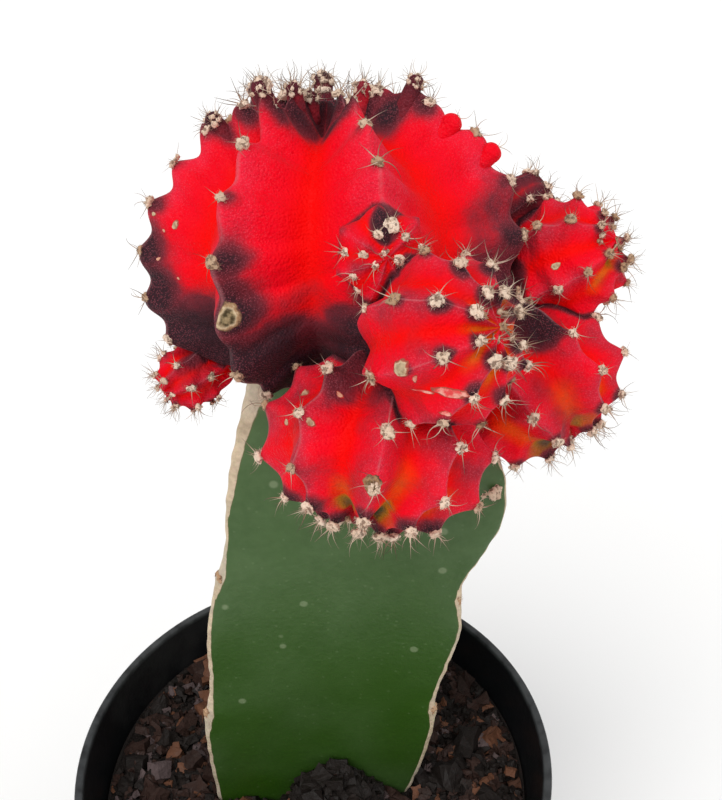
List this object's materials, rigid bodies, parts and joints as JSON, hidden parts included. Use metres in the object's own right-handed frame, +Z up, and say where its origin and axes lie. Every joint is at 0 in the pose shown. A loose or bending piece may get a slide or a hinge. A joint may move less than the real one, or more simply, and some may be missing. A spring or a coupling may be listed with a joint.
{
  "type": "potted moon cactus",
  "caption": "Ribbed red cactus head with round offsets, grafted on a three-sided green rootstock in a black plastic nursery pot of bark compost.",
  "frame": {"origin": "middle of the pot's underside, on the surface it stands on", "axes": "+Z up; -Y is the side that the large front offsets hang over; +X is the side with the two right-hand offsets"},
  "size_m": [0.0943, 0.089, 0.2044],
  "materials": {
    "pot_plastic": "thin black nursery-pot plastic, satin, with a paler worn rim",
    "bark_compost": "damp dark bark chips with a few orange-brown flakes",
    "green_stem": "waxy green skin with pale specks and tan corky margins",
    "red_flesh": "velvety bright red flesh, purple-black round the areoles, cream wool and grey-brown spines"
  },
  "bodies": {
    "root": {"pot": "pot_plastic", "compost": "bark_compost", "rootstock": "green_stem", "scion_head": "red_flesh", "offset_front_lower": "red_flesh", "offset_front": "red_flesh", "offset_right_lower": "red_flesh", "offset_right_upper": "red_flesh", "offset_left": "red_flesh", "offset_young": "red_flesh", "offset_back_right": "red_flesh"}
  },
  "joints": []
}
